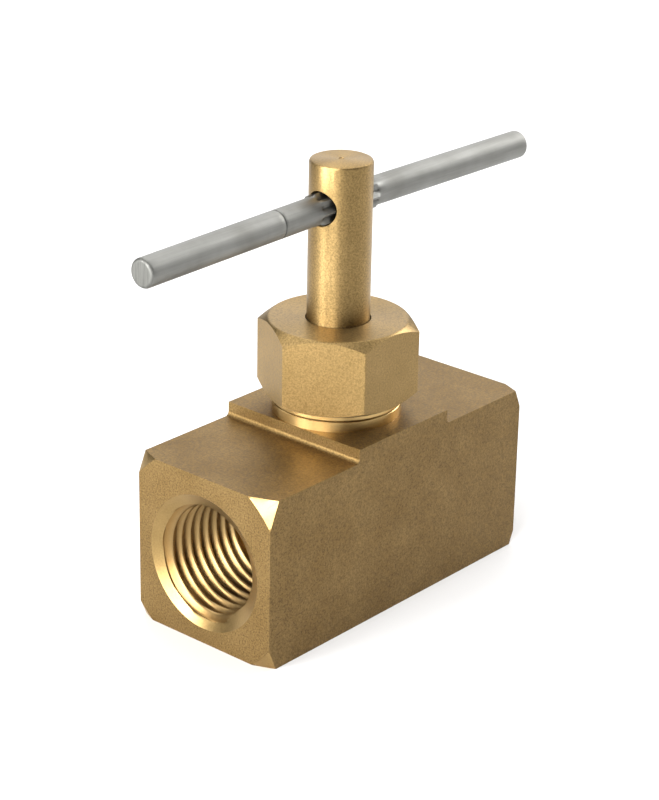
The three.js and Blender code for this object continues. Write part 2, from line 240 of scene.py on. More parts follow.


# %% [markdown]
# ## Brass and steel
#
# Brass here has two looks. The body and the nut have been tumbled, so their skin is a fine matt
# grain with cloudy patches. Faces that a tool cut last are brighter and smoother, with faint
# marks in the tool's direction where a lathe turned them. The neck's base is brighter again,
# partly for its polish and partly as a painted highlight. The ports' base is darker, and their
# thread roots darker still, as painted shade. All are one metal with different grain, so one
# function mixes them all, from noise at three sizes. A picture of brass wrapped round the part
# would stretch and show seams.

# %% A helper for material nodes
class Finish:
    """Builds a metal or plastic finish node by node."""

    def __init__(self, name):
        self.material = bpy.data.materials.new(name)
        self.material.use_nodes = True
        self.tree = self.material.node_tree
        self.shader = self.tree.nodes["Principled BSDF"]
        self.place = self.tree.nodes.new("ShaderNodeTexCoord").outputs["Object"]

    def node(self, kind, **inputs):
        made = self.tree.nodes.new(kind)
        for key, value in inputs.items():
            made.inputs[key.replace("_", " ")].default_value = value
        return made

    def join(self, source, target):
        self.tree.links.new(source, target)

    def noise(self, per_mm, stretch=(1, 1, 1), detail=2.0, roughness=0.5):
        """Noise with about this many bumps per millimetre, stretched by an inverse scale per axis."""
        spread = self.node("ShaderNodeMapping")
        spread.inputs["Scale"].default_value = stretch
        grain = self.node("ShaderNodeTexNoise", Scale=per_mm / MM, Detail=detail, Roughness=roughness)
        self.join(self.place, spread.inputs["Vector"])
        self.join(spread.outputs["Vector"], grain.inputs["Vector"])
        return grain.outputs["Fac"]

    def ramp(self, source, stops):
        """Maps a 0 to 1 value to colours or greys at the given stops."""
        ramp = self.tree.nodes.new("ShaderNodeValToRGB")
        ramp.color_ramp.elements[0].position = stops[0][0]
        ramp.color_ramp.elements[0].color = (*stops[0][1], 1)
        ramp.color_ramp.elements[1].position = stops[-1][0]
        ramp.color_ramp.elements[1].color = (*stops[-1][1], 1)
        for position, colour in stops[1:-1]:
            ramp.color_ramp.elements.new(position).color = (*colour, 1)
        self.join(source, ramp.inputs["Fac"])
        return ramp.outputs["Color"]

    def blend(self, share, first, second, mode="MIX"):
        mix = self.tree.nodes.new("ShaderNodeMix")
        mix.data_type = "RGBA"
        mix.blend_type = mode
        for value, socket in ((share, mix.inputs[0]), (first, mix.inputs[6]), (second, mix.inputs[7])):
            if isinstance(value, bpy.types.NodeSocket):
                self.join(value, socket)
            elif isinstance(value, tuple):
                socket.default_value = (*value, 1)
            else:
                socket.default_value = value
        return mix.outputs[2]

    def sums(self, first, second, operation="ADD", third=0.0):
        sums = self.tree.nodes.new("ShaderNodeMath")
        sums.operation = operation
        for value, socket in zip((first, second, third), sums.inputs):
            if isinstance(value, bpy.types.NodeSocket):
                self.join(value, socket)
            else:
                socket.default_value = value
        return sums.outputs[0]

    def rings(self, amount, axis=(0, 0, 1), through=(0, 0, 0), rotation=0.25):
        """Spreads reflections across the rings a lathe cuts round an axis, given in metres.

        At rotation 0 they spread round the axis instead, as lines drawn along a rod do.
        """
        arm = self.node("ShaderNodeVectorMath")
        arm.operation = "SUBTRACT"
        arm.inputs[1].default_value = through
        around = self.node("ShaderNodeVectorMath")
        around.operation = "CROSS_PRODUCT"
        around.inputs[0].default_value = axis
        self.join(self.place, arm.inputs[0])
        self.join(arm.outputs["Vector"], around.inputs[1])
        self.join(around.outputs["Vector"], self.shader.inputs["Tangent"])
        self.shader.inputs["Anisotropic"].default_value = amount
        self.shader.inputs["Anisotropic Rotation"].default_value = rotation

    def depth_share(self, near, far, height=9.5):
        """0 to 1 with the distance from the line through both ports, between two radii in mm."""
        arm = self.node("ShaderNodeVectorMath")
        arm.operation = "SUBTRACT"
        arm.inputs[1].default_value = (0, 0, height * MM)
        flat = self.node("ShaderNodeVectorMath")
        flat.operation = "MULTIPLY"
        flat.inputs[1].default_value = (0, 1, 1)
        length = self.node("ShaderNodeVectorMath")
        length.operation = "LENGTH"
        self.join(self.place, arm.inputs[0])
        self.join(arm.outputs["Vector"], flat.inputs[0])
        self.join(flat.outputs["Vector"], length.inputs[0])
        share = self.node("ShaderNodeMapRange")
        share.inputs["From Min"].default_value = near * MM
        share.inputs["From Max"].default_value = far * MM
        self.join(length.outputs["Value"], share.inputs["Value"])
        return share.outputs["Result"]

    def relief(self, height, depth_mm, strength=1.0):
        bump = self.node("ShaderNodeBump", Strength=strength, Distance=depth_mm * MM)
        self.join(height, bump.inputs["Height"])
        self.join(bump.outputs["Normal"], self.shader.inputs["Normal"])


# %% The brass
def brass(name, light, dark, roughness, grain_depth, speckle, lines=None, ringed=0.0, groove=None):
    """A brass finish. Roughness is a (low, high) pair, and lines is (stretch, depth) for tool marks.

    groove is (crest radius, root radius, root shade colour), radii in mm: painted shade that darkens a
    thread about the ports' line towards its roots.
    """
    made = Finish(name)
    clouds = made.noise(0.2, detail=4, roughness=0.6)
    grain = made.noise(GRAIN_PER_MM, detail=2, roughness=0.7)
    tone = made.ramp(clouds, [(0.3, dark), (0.7, light)])
    shade = made.ramp(grain, [(0.3, (1 - speckle,) * 3), (0.7, (1, 1, 1))])
    colour = made.blend(1.0, tone, shade, "MULTIPLY")
    # Painted shade: the colour darkens from the crest radius to the root radius of the ports' thread.
    if groove:
        crest, root, root_shade = groove
        share = made.depth_share(crest, root)
        colour = made.blend(1.0, colour, made.ramp(share, [(0, (1, 1, 1)), (1, root_shade)]), "MULTIPLY")
    made.join(colour, made.shader.inputs["Base Color"])
    made.shader.inputs["Metallic"].default_value = 1.0
    low, high = roughness
    made.join(made.ramp(grain, [(0.25, (low,) * 3), (0.75, (high,) * 3)]), made.shader.inputs["Roughness"])
    height, depth = grain, grain_depth
    if lines:
        stretch, line_depth = lines
        depth += line_depth
        marks = made.sums(made.noise(1.0, stretch=stretch, detail=2), line_depth / depth, "MULTIPLY")
        height = made.sums(marks, made.sums(grain, grain_depth / depth, "MULTIPLY"))
    made.relief(height, depth)
    if ringed:
        made.rings(ringed)
    return made.material


GRAIN_PER_MM = 5.0
TUMBLED_LIGHT = (0.312, 0.202, 0.078)
TUMBLED_DARK = (0.252, 0.157, 0.056)
NUT_LIGHT = (0.40, 0.268, 0.108)
NUT_DARK = (0.335, 0.223, 0.086)
TURNED_LIGHT = (0.42, 0.285, 0.116)
TURNED_DARK = (0.365, 0.243, 0.096)
# Painted shade: the brass inside the ports and the stem's bore has a darker base than the turned brass.
TAPPED_SHADED_LIGHT = (0.36, 0.243, 0.105)
TAPPED_SHADED_DARK = (0.31, 0.207, 0.088)
# Painted highlight: the neck, its boss and the nut's skirt have nearly twice the base colour of the other
# brass, partly for their polish and partly standing in for the bright band of light on them.
POLISH_AND_HIGHLIGHT_LIGHT = (0.72, 0.51, 0.22)
POLISH_AND_HIGHLIGHT_DARK = (0.62, 0.43, 0.18)
# Painted shade for the port threads: crest radius, root radius and the colour the roots are darkened by.
THREAD_ROOT_SHADE = (6.0, 6.6, (0.88, 0.78, 0.64))
AROUND_Z = (0.02, 0.02, 6.0)
ALONG_Z = (3.0, 3.0, 0.25)

skin_brass = brass("tumbled_brass", TUMBLED_LIGHT, TUMBLED_DARK, (0.40, 0.60), 0.014, 0.62)
faced_brass = brass("faced_brass", NUT_LIGHT, NUT_DARK, (0.28, 0.40), 0.003, 0.20)
shaded_tapped_brass = brass(
    "shaded_tapped_brass", TAPPED_SHADED_LIGHT, TAPPED_SHADED_DARK, (0.28, 0.38), 0.001, 0.08, groove=THREAD_ROOT_SHADE
)
turned_brass = brass(
    "turned_brass", TURNED_LIGHT, TURNED_DARK, (0.38, 0.50), 0.006, 0.50, (AROUND_Z, 0.003), 0.6
)
neck_brass = brass(
    "neck_brass", POLISH_AND_HIGHLIGHT_LIGHT, POLISH_AND_HIGHLIGHT_DARK, (0.28, 0.36), 0.0005, 0.10, (AROUND_Z, 0.0005), 0.5
)
nut_brass = brass("nut_brass", NUT_LIGHT, NUT_DARK, (0.42, 0.60), 0.012, 0.45, (ALONG_Z, 0.005))
print("brass finishes:", skin_brass.name, shaded_tapped_brass.name, turned_brass.name, nut_brass.name)


# %% [markdown]
# ### Steel, fluoropolymer and rubber
#
# The bar is cold-drawn rod with a thin dull plating: a satin grey with drawing lines along it,
# and darker stains. Its cut ends and their rounded rims carry rougher saw marks and a much darker
# base, which is painted shade. The packing rings are white fluoropolymer, waxy rather than shiny.
# The O-ring is matt black rubber with a faint bloom.

# %% The other finishes
def bar_steel(line_height):
    """The rod's finish, for a rod along X at a height in millimetres."""
    made = Finish("drawn_steel")
    lines = made.noise(1.0, stretch=(0.12, 5, 5), detail=3)
    stains = made.noise(0.2, detail=3, roughness=0.5)
    grain = made.noise(GRAIN_PER_MM, detail=2)
    tone = made.ramp(stains, [(0.3, (0.23, 0.227, 0.209)), (0.65, (0.28, 0.28, 0.262))])
    drawn = made.ramp(lines, [(0.3, (0.88, 0.88, 0.88)), (0.7, (1, 1, 1))])
    made.join(made.blend(1.0, tone, drawn, "MULTIPLY"), made.shader.inputs["Base Color"])
    made.shader.inputs["Metallic"].default_value = 1.0
    rough = made.ramp(stains, [(0.3, (0.58,) * 3), (0.7, (0.50,) * 3)])
    made.join(rough, made.shader.inputs["Roughness"])
    made.relief(made.sums(lines, made.sums(grain, 0.8, "MULTIPLY")), 0.006)
    made.rings(0.55, (1, 0, 0), (0, 0, line_height * MM), 0.0)
    return made.material


def sawn_and_shaded_steel():
    """The rod's cut ends and rims, with the saw's marks running up and down and a darker base as painted
    shade.
    """
    made = Finish("sawn_and_shaded_steel")
    marks = made.noise(1.0, stretch=(5, 5, 0.4), detail=3)
    made.join(made.ramp(marks, [(0.3, (0.13, 0.13, 0.12)), (0.7, (0.185, 0.185, 0.172))]),
              made.shader.inputs["Base Color"])
    made.shader.inputs["Metallic"].default_value = 1.0
    made.join(made.ramp(marks, [(0.3, (0.62,) * 3), (0.7, (0.50,) * 3)]), made.shader.inputs["Roughness"])
    made.relief(marks, 0.02)
    return made.material


def packing_white():
    made = Finish("white_packing")
    clouds = made.noise(0.6, detail=3)
    made.join(made.ramp(clouds, [(0.3, (0.80, 0.79, 0.75)), (0.7, (0.88, 0.87, 0.84))]),
              made.shader.inputs["Base Color"])
    made.join(made.ramp(clouds, [(0.3, (0.42,) * 3), (0.7, (0.55,) * 3)]), made.shader.inputs["Roughness"])
    made.relief(made.noise(5.0), 0.006)
    return made.material


def ring_rubber():
    made = Finish("black_rubber")
    bloom = made.noise(0.9, detail=4)
    made.join(made.ramp(bloom, [(0.35, (0.012, 0.012, 0.012)), (0.8, (0.035, 0.035, 0.034))]),
              made.shader.inputs["Base Color"])
    made.join(made.ramp(bloom, [(0.3, (0.5,) * 3), (0.7, (0.72,) * 3)]), made.shader.inputs["Roughness"])
    made.relief(made.noise(6.0), 0.006)
    return made.material


cut_and_shaded_steel = sawn_and_shaded_steel()
white_packing = packing_white()
black_rubber = ring_rubber()
print("other finishes:", cut_and_shaded_steel.name, white_packing.name, black_rubber.name)


# %% [markdown]
# ## The body
#
# The real body starts as a length of extruded bar whose section already has the raised land. It
# is sawn off, its ends are faced in a lathe, which also turns the corners off, and then its neck
# is turned and its three openings are bored and tapped. The mesh follows the same order, so each
# edge is where the real tool left it.

# %% The body's blank
def across(node):
    """A CAD node's lowest and highest corners, in millimetres."""
    low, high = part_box(node)
    return Vector(low) / MM, Vector(high) / MM


body_high = across("valve_body")[1]
HALF_LENGTH = body_high.x
HALF_WIDTH = body_high.y
NECK_TOP = body_high.z
SHOULDER = 19.5
LAND_TOP = 21.1
LAND_ENDS = (-7.2, 7.7)
FOOT_RADIUS = 0.5
FOOT_STEPS = 5
PORT_HEIGHT = 9.5
INLET_CIRCLE = 12.0
OUTLET_CIRCLE = 12.6
END_CONE_WIDTH = 3.4
END_CONE_DEPTH = 2.21
END_RUN_OUT = 0.3
BODY_EDGE = 0.22


def foot(centre_x, from_angle, to_angle):
    """The small radius a milling cutter leaves at the foot of the land."""
    points = []
    for step in range(FOOT_STEPS + 1):
        angle = math.radians(from_angle + (to_angle - from_angle) * step / FOOT_STEPS)
        x = centre_x + FOOT_RADIUS * math.cos(angle)
        points.append((x, SHOULDER + FOOT_RADIUS + FOOT_RADIUS * math.sin(angle)))
    return points


def bar_blank():
    """The square bar with its raised land, before any turning."""
    left, right = LAND_ENDS
    outline = [(-HALF_LENGTH, 0), (HALF_LENGTH, 0), (HALF_LENGTH, SHOULDER)]
    outline += foot(right + FOOT_RADIUS, 270, 180) + [(right, LAND_TOP), (left, LAND_TOP)]
    outline += foot(left - FOOT_RADIUS, 360, 270) + [(-HALF_LENGTH, SHOULDER)]
    bm = bmesh.new()
    near = bm.faces.new([bm.verts.new((x, -HALF_WIDTH, z)) for x, z in outline])
    pushed = bmesh.ops.extrude_face_region(bm, geom=[near])
    far = [item for item in pushed["geom"] if isinstance(item, bmesh.types.BMVert)]
    bmesh.ops.translate(bm, verts=far, vec=(0, 2 * HALF_WIDTH, 0))
    return piece_from("bar_stock_body", bm)


body = bar_blank()
envelope = turned("end_turning", [
    (INLET_CIRCLE, 0),
    (INLET_CIRCLE + END_CONE_WIDTH, END_CONE_DEPTH),
    (OUTLET_CIRCLE + END_CONE_WIDTH, 2 * HALF_LENGTH - END_CONE_DEPTH),
    (OUTLET_CIRCLE, 2 * HALF_LENGTH),
], around=256)
lay_along_x(envelope, -HALF_LENGTH, 1, PORT_HEIGHT)
envelope.data.transform(Matrix.Translation(Vector((0, END_RUN_OUT, 0)) * MM))
combine(body, envelope, "INTERSECT")
break_edges(body, BODY_EDGE, segments=3)
print("blank:", len(body.data.polygons), "faces")

# %% [markdown]
# ### The pipe threads
#
# A tapered pipe thread grips harder as it goes in: its radius shrinks 1 mm for every 32 mm of
# depth, and there are 19 turns to the inch. The tool made here is the tap itself, with a
# countersink at the mouth, a lead where the last turns fade out, and the drill's point at the
# bottom. Subtracting it leaves the thread.

# %% The tapped ports
PIPE_PITCH = 25.4 / 19
PIPE_MAJOR = 6.85
PIPE_MINOR = 6.08
PIPE_START = 1.40
PIPE_TAPER = 1 / 32
MOUTH_RADIUS = 7.75
MOUTH_SLOPE = 1.6
TAP_DRILL = 5.55
TAP_LEAD = (9.8, 12.6)
DRILL_DEPTH = 13.5
DRILL_POINT = math.tan(math.radians(31))
MOUTH_OVERRUN = 0.6


def tap_radius(depth, turns):
    """The radius a tapped port is opened to at a depth and angle."""
    shrink = depth * PIPE_TAPER
    crest = max(PIPE_MINOR - shrink, TAP_DRILL)
    root = PIPE_MAJOR - shrink
    root += (TAP_DRILL - root) * ease(depth, *TAP_LEAD)
    thread = crest + max(root - crest, 0) * groove_depth(depth + PIPE_START, turns, PIPE_PITCH)
    return max(thread, MOUTH_RADIUS - depth * MOUTH_SLOPE)


def port_tap(name):
    threaded = screwed(name, tap_radius, -MOUTH_OVERRUN, DRILL_DEPTH, PIPE_PITCH)
    point = turned("drill_point", [
        (TAP_DRILL, DRILL_DEPTH - 0.5),
        (TAP_DRILL, DRILL_DEPTH),
        (0.05, DRILL_DEPTH + TAP_DRILL * DRILL_POINT),
    ])
    combine(threaded, point, "UNION")
    return threaded


for side in (-1, 1):
    tap = port_tap("tap")
    lay_along_x(tap, side * HALF_LENGTH, -side, PORT_HEIGHT)
    combine(body, tap, "DIFFERENCE")
print("tapped:", len(body.data.polygons), "faces")

# %% [markdown]
# ### The neck and the stem's bore
#
# The neck carries the packing nut, so it has an outside thread, 20 to the inch, with a plain
# relief below it and a bright turned boss at its foot. Down its middle go the packing box, the
# screw that lifts the stem, a smooth bore for the O-ring, and the seat. The screw in the body is
# the stem's own thread grown by a small clearance, which keeps the two in step all the way up.

# %% The neck
BOSS_RADIUS = 7.15
BOSS_TOP = 22.25
BOSS_EDGE = 0.06
NECK_CREST = 6.35
NECK_ROOT = 5.75
NECK_PITCH = 25.4 / 20
NECK_THREAD_START = 22.9
NECK_CHAMFER = 0.45


def neck_radius(height, turns):
    """The neck's thread, with a plain relief under it and a chamfer at the top."""
    fade = ease(height, NECK_THREAD_START, NECK_THREAD_START + NECK_PITCH)
    depth = (NECK_CREST - NECK_ROOT) * groove_depth(height, turns, NECK_PITCH) * fade
    return min(NECK_CREST - depth, NECK_CREST - NECK_CHAMFER + (NECK_TOP - height))


neck = screwed("neck", neck_radius, SHOULDER, NECK_TOP, NECK_PITCH)
combine(body, neck, "UNION")
boss = turned("boss", [
    (BOSS_RADIUS, SHOULDER + 0.5),
    (BOSS_RADIUS, BOSS_TOP - BOSS_EDGE),
    (BOSS_RADIUS - BOSS_EDGE, BOSS_TOP),
])
combine(body, boss, "UNION")

# %% The stem's bore, seat and passages
STEM_PITCH = 1.0
STEM_CREST = 3.95
STEM_ROOT = 3.40
RUNNING_CLEARANCE = 0.09
CHAMBER_RADIUS = 3.1
CHAMBER_TOP = 18.9
BOX_FLOOR = 25.4
BOX_RADIUS = 4.9
SEAT_HEIGHT = 9.6
PASSAGE_RADIUS = 1.6
INLET_HEIGHT = 6.0
OUTLET_HEIGHT = 11.8
PASSAGE_REACH = 8.4
PASSAGES = ((INLET_HEIGHT, -PASSAGE_REACH, PASSAGE_RADIUS), (OUTLET_HEIGHT, 0, PASSAGE_REACH))


def stem_screw_radius(height, turns):
    return STEM_CREST - (STEM_CREST - STEM_ROOT) * groove_depth(height, turns, STEM_PITCH)


def stem_bore_radius(height, turns):
    return stem_screw_radius(height, turns) + RUNNING_CLEARANCE


screw_bore = screwed("screw_bore", stem_bore_radius, CHAMBER_TOP, BOX_FLOOR + 0.2, STEM_PITCH, around=96)
combine(body, screw_bore, "DIFFERENCE")
plain_bores = [
    [(BOX_RADIUS, BOX_FLOOR), (BOX_RADIUS, NECK_TOP + 1)],
    [(PASSAGE_RADIUS, INLET_HEIGHT), (PASSAGE_RADIUS, SEAT_HEIGHT), (CHAMBER_RADIUS, SEAT_HEIGHT),
     (CHAMBER_RADIUS, CHAMBER_TOP + 0.2)],
]
for profile in plain_bores:
    combine(body, turned("drill", profile, around=96), "DIFFERENCE")
for height, start, end in PASSAGES:
    drill = turned("drill", [(PASSAGE_RADIUS, 0), (PASSAGE_RADIUS, end - start)], around=64)
    lay_along_x(drill, start, 1, height)
    combine(body, drill, "DIFFERENCE")
print("bored:", len(body.data.polygons), "faces")


# %% Choose the body's finishes face by face
BODY_FINISHES = (skin_brass, shaded_tapped_brass, neck_brass, faced_brass)
SKIN, TAPPED, NECK, FACED = range(4)
# Distances in millimetres, measured from the middle of a face.
PORT_STOP = 4
INSIDE_END = 0.001
ON_CONE = 0.03
CONE_SLACK = 0.6
BORE_SLACK = 0.05
OFF_SIDES = 0.1
HAIR = 0.01


def body_finish(centre):
    """Which finish a face of the body has, from where it is, in millimetres."""
    from_ports = math.hypot(centre.y, centre.z - PORT_HEIGHT)
    from_stem = math.hypot(centre.x, centre.y)
    depth = HALF_LENGTH - abs(centre.x)
    if abs(centre.z - LAND_TOP) < HAIR:
        return SKIN
    if INSIDE_END < depth < HALF_LENGTH - PORT_STOP and from_ports < MOUTH_RADIUS:
        from_cone = from_ports - (MOUTH_RADIUS - depth * MOUTH_SLOPE)
        return FACED if abs(from_cone) < ON_CONE else TAPPED
    clear_of_walls = abs(centre.y) < HALF_WIDTH - OFF_SIDES
    clear_of_sides = clear_of_walls and OFF_SIDES < centre.z < SHOULDER - OFF_SIDES
    outside_circle = from_ports > INLET_CIRCLE - CONE_SLACK
    if HAIR < depth < END_CONE_DEPTH and outside_circle and clear_of_sides:
        return FACED
    if from_stem < BOSS_RADIUS + HAIR and centre.z > LAND_TOP + HAIR:
        return NECK
    if from_stem < BOX_RADIUS + BORE_SLACK and centre.z > OFF_SIDES:
        return TAPPED
    return SKIN


for finish in BODY_FINISHES:
    body.data.materials.append(finish)
for face in body.data.polygons:
    face.material_index = body_finish(face.center / MM)
smooth_round(body)
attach(body, "valve")
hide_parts("valve_body")

# %% [markdown]
# ## The packing nut
#
# The nut is sawn from hexagon bar. Its top and bottom corners are turned off, which leaves an arc
# at both ends of each flat, and a short round skirt is turned below the hexagon. Inside is the
# neck's thread with a little clearance. Crossing a hexagon with a turned shape gives those arcs
# exactly, where a plain bevel would leave straight lines.

# %% The packing nut
nut_low, nut_high = across("packing_nut")
NUT_CORNER = nut_high.x
NUT_TOP = nut_high.z
NUT_SKIRT_BOTTOM = nut_low.z
HEX_BOTTOM = 23.0
SKIRT_RADIUS = 7.2
FOOT_FLAT_RADIUS = 7.6
FOOT_SLOPE = math.tan(math.radians(30))
TOP_FLAT_RADIUS = 7.62
TOP_SLOPE = math.tan(math.radians(36))
TURNED_EDGE = 0.08
NUT_EDGE = 0.14
SKIRT_EDGE = 0.12
SKIRT_ROUND = 0.035
OVERLAP = 0.4
NUT_CEILING = 30.0
NUT_STEM_HOLE = 3.6
NUT_THREAD_CLEARANCE = 0.07

nut = turned("hex_packing_nut", [(NUT_CORNER, HEX_BOTTOM - 1), (NUT_CORNER, NUT_TOP + 1)], around=6)
break_edges(nut, NUT_EDGE, segments=3, sharper_than=40)
reach = NUT_CORNER + 1
turning = turned("turning", [
    (FOOT_FLAT_RADIUS, HEX_BOTTOM),
    (reach, HEX_BOTTOM + (reach - FOOT_FLAT_RADIUS) * FOOT_SLOPE),
    (reach, NUT_TOP - (reach - TOP_FLAT_RADIUS) * TOP_SLOPE),
    (TOP_FLAT_RADIUS + TURNED_EDGE, NUT_TOP - TURNED_EDGE * TOP_SLOPE),
    (TOP_FLAT_RADIUS - TURNED_EDGE, NUT_TOP),
], around=192)
combine(nut, turning, "INTERSECT")
skirt = turned("skirt", [
    (SKIRT_RADIUS - SKIRT_EDGE, NUT_SKIRT_BOTTOM),
    (SKIRT_RADIUS - SKIRT_ROUND, NUT_SKIRT_BOTTOM + SKIRT_ROUND),
    (SKIRT_RADIUS, NUT_SKIRT_BOTTOM + SKIRT_EDGE),
    (SKIRT_RADIUS, HEX_BOTTOM + OVERLAP),
])
combine(nut, skirt, "UNION")


def nut_bore_radius(height, turns):
    """The nut's thread, opened to a 45 degree mouth at the bottom."""
    mouth = NECK_CREST + 0.5 - (height - NUT_SKIRT_BOTTOM)
    depth = (NECK_CREST - NECK_ROOT) * groove_depth(height, turns, NECK_PITCH)
    return max(NECK_CREST - depth + NUT_THREAD_CLEARANCE, mouth)


nut_tap = screwed("nut_tap", nut_bore_radius, NUT_SKIRT_BOTTOM - OVERLAP, NUT_CEILING, NECK_PITCH)
combine(nut, nut_tap, "DIFFERENCE")
stem_hole = turned("stem_hole", [
    (NUT_STEM_HOLE, NUT_CEILING - 0.5),
    (NUT_STEM_HOLE, NUT_TOP + 0.5),
])
combine(nut, stem_hole, "DIFFERENCE")
TURNED_FACE_SLOPE = 0.3
FLAT, SKIRT, TOP = range(3)
for finish in (nut_brass, neck_brass, turned_brass):
    nut.data.materials.append(finish)
for face in nut.data.polygons:
    if face.center.z / MM < HEX_BOTTOM - HAIR:
        face.material_index = SKIRT
    elif abs(face.normal.z) > TURNED_FACE_SLOPE:
        face.material_index = TOP
    else:
        face.material_index = FLAT
smooth_round(nut, 16)
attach(nut, "valve")
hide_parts("packing_nut")

# %% [markdown]
# ## The stem
#
# One brass rod does four jobs: the point at its lower end is the needle, a groove above it holds
# the O-ring, the screw lifts it, and the plain top is cross-drilled for the bar. It is turned in
# one setting, so it is one piece here too, with the screw cut on it and the hole drilled last.

# %% The stem
stem_low, stem_high = across("stem")
STEM_TOP = stem_high.z
STEM_TIP = stem_low.z
STEM_RADIUS = 3.46
PISTON_RADIUS = 2.98
SCREW_SPAN = (19.15, 22.9)
TIP_RADIUS = 0.4
TIP_ROUND = 0.15
NEEDLE_RADIUS = 2.3
NEEDLE_SLOPE = math.tan(math.radians(30))
NEEDLE_TOP = 13.6
PISTON_BOTTOM = 13.9
GROOVE_BOTTOM, GROOVE_TOP, GROOVE_RADIUS = 14.5, 16.4, 1.7
BAR_HOLE_RADIUS = 1.95
TOP_CHAMFER = 0.32
TOP_ROUND = 0.1
FACED_MIDDLE = 0.9
JOIN = 0.3
ROOT_GAP = 0.05
PIP = [(0.28, STEM_TOP - 0.06), (0.34, STEM_TOP + 0.2)]

shoulder = STEM_TIP + (NEEDLE_RADIUS - TIP_RADIUS) / NEEDLE_SLOPE
lower = [
    (TIP_ROUND, STEM_TIP),
    (TIP_RADIUS, STEM_TIP + TIP_ROUND),
    (NEEDLE_RADIUS, shoulder),
    (NEEDLE_RADIUS, NEEDLE_TOP),
    (PISTON_RADIUS, PISTON_BOTTOM),
    (PISTON_RADIUS, GROOVE_BOTTOM),
    (GROOVE_RADIUS, GROOVE_BOTTOM),
    (GROOVE_RADIUS, GROOVE_TOP),
    (PISTON_RADIUS, GROOVE_TOP),
    (PISTON_RADIUS, SCREW_SPAN[0] + JOIN),
]
upper = [
    (STEM_ROOT, SCREW_SPAN[1] - JOIN),
    (STEM_RADIUS, SCREW_SPAN[1]),
    (STEM_RADIUS, STEM_TOP - TOP_CHAMFER),
    (STEM_RADIUS - TOP_ROUND, STEM_TOP - TOP_ROUND),
    (STEM_RADIUS - TOP_CHAMFER, STEM_TOP),
    (FACED_MIDDLE, STEM_TOP),
]


def cut_screw_radius(height, turns):
    """The stem's screw with its two ends turned down at 45 degrees."""
    below = PISTON_RADIUS - ROOT_GAP + (height - SCREW_SPAN[0])
    above = STEM_ROOT - ROOT_GAP + (SCREW_SPAN[1] - height)
    return min(stem_screw_radius(height, turns), below, above)


stem = turned("screw_stem", lower)
combine(stem, screwed("screw", cut_screw_radius, *SCREW_SPAN, STEM_PITCH, around=96), "UNION")
combine(stem, turned("shaft", upper, around=160), "UNION")
combine(stem, turned("pip", PIP, around=24), "DIFFERENCE")
bar_low, bar_high = across("tee_bar")
BAR_HEIGHT = (bar_low.z + bar_high.z) / 2
cross_drill = turned("cross_drill", [
    (BAR_HOLE_RADIUS, -STEM_RADIUS - 1),
    (BAR_HOLE_RADIUS, STEM_RADIUS + 1),
], around=96)
lay_along_x(cross_drill, 0, 1, BAR_HEIGHT)
combine(stem, cross_drill, "DIFFERENCE")
stem.data.materials.append(turned_brass)
smooth_round(stem)
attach(stem, "spindle")
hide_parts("stem")

# %% [markdown]
# ## The cross bar
#
# The bar is rod with a coarse straight knurl rolled round its middle. Driven through the stem, the
# knurl's teeth bite and hold it, and the blow leaves it very slightly bent. One fine tool line
# runs round its half on the inlet's side. A ring of points at each station along the bar, with
# its radius rippled where the knurl is, gives the teeth, their run-out and the line in one go.
# Modelling teeth one by one would be slower and fit less well.

# %% The cross bar
BAR_RADIUS = 1.5875
BAR_REACH = {-1: -bar_low.x, 1: bar_high.x}
BAR_END_ROUND = 0.38
KNURL_HALF = 4.8
KNURL_RUNOUT = 0.6
KNURL_TEETH = 8
KNURL_HEIGHT = 0.27
CUT_AND_SHADED_SLOPE = 0.45
MARK_AT = -10.5
MARK_WIDTH = 0.11
MARK_DEPTH = 0.06
BEND = {-1: math.tan(math.radians(1.35)), 1: math.tan(math.radians(1.62))}
BEND_EASE = 3.0


def bar_radius(along, angle):
    """The bar's radius at a distance from its middle and an angle round it."""
    from_end = BAR_REACH[-1 if along < 0 else 1] - abs(along)
    plain = BAR_RADIUS
    if from_end < BAR_END_ROUND:
        inward = BAR_END_ROUND - from_end
        plain -= BAR_END_ROUND - math.sqrt(max(BAR_END_ROUND ** 2 - inward ** 2, 0))
    rolled = 1 - ease(abs(along), KNURL_HALF - KNURL_RUNOUT, KNURL_HALF)
    tooth = abs(((angle * KNURL_TEETH / TURN) % 1) * 2 - 1) * 2 - 1
    marked = max(1 - abs(along - MARK_AT) / MARK_WIDTH, 0)
    return plain + rolled * KNURL_HEIGHT * tooth - marked * MARK_DEPTH


def bar_stations():
    """Distances along the bar: close together at the ends, over the knurl and at the line."""
    halves = {}
    for side, reach in BAR_REACH.items():
        rounding = reach - BAR_END_ROUND
        rolled = [KNURL_HALF * step / 24 for step in range(25)]
        plain = [KNURL_HALF + (rounding - KNURL_HALF) * step / 24 for step in range(1, 24)]
        if side * MARK_AT > 0:
            plain = sorted(plain + [abs(MARK_AT) + MARK_WIDTH * step for step in (-1, 0, 1)])
        ends = [rounding + BAR_END_ROUND * math.sin(math.radians(15 * step)) for step in range(7)]
        halves[side] = rolled + plain + ends
    return [-x for x in reversed(halves[-1][1:])] + halves[1]


rings = []
for along in bar_stations():
    side = -1 if along < 0 else 1
    sag = BEND[side] * (math.hypot(along, BEND_EASE) - BEND_EASE)
    ring = []
    for step in range(96):
        angle = TURN * step / 96
        radius = bar_radius(along, angle)
        ring.append(Vector((radius * math.cos(angle), radius * math.sin(angle) - sag, along)))
    rings.append(ring)
bar = piece_from("cross_bar", skin(rings))
lay_along_x(bar, 0, 1, BAR_HEIGHT)
DRAWN, CUT_AND_SHADED = range(2)
for finish in (bar_steel(BAR_HEIGHT), cut_and_shaded_steel):
    bar.data.materials.append(finish)
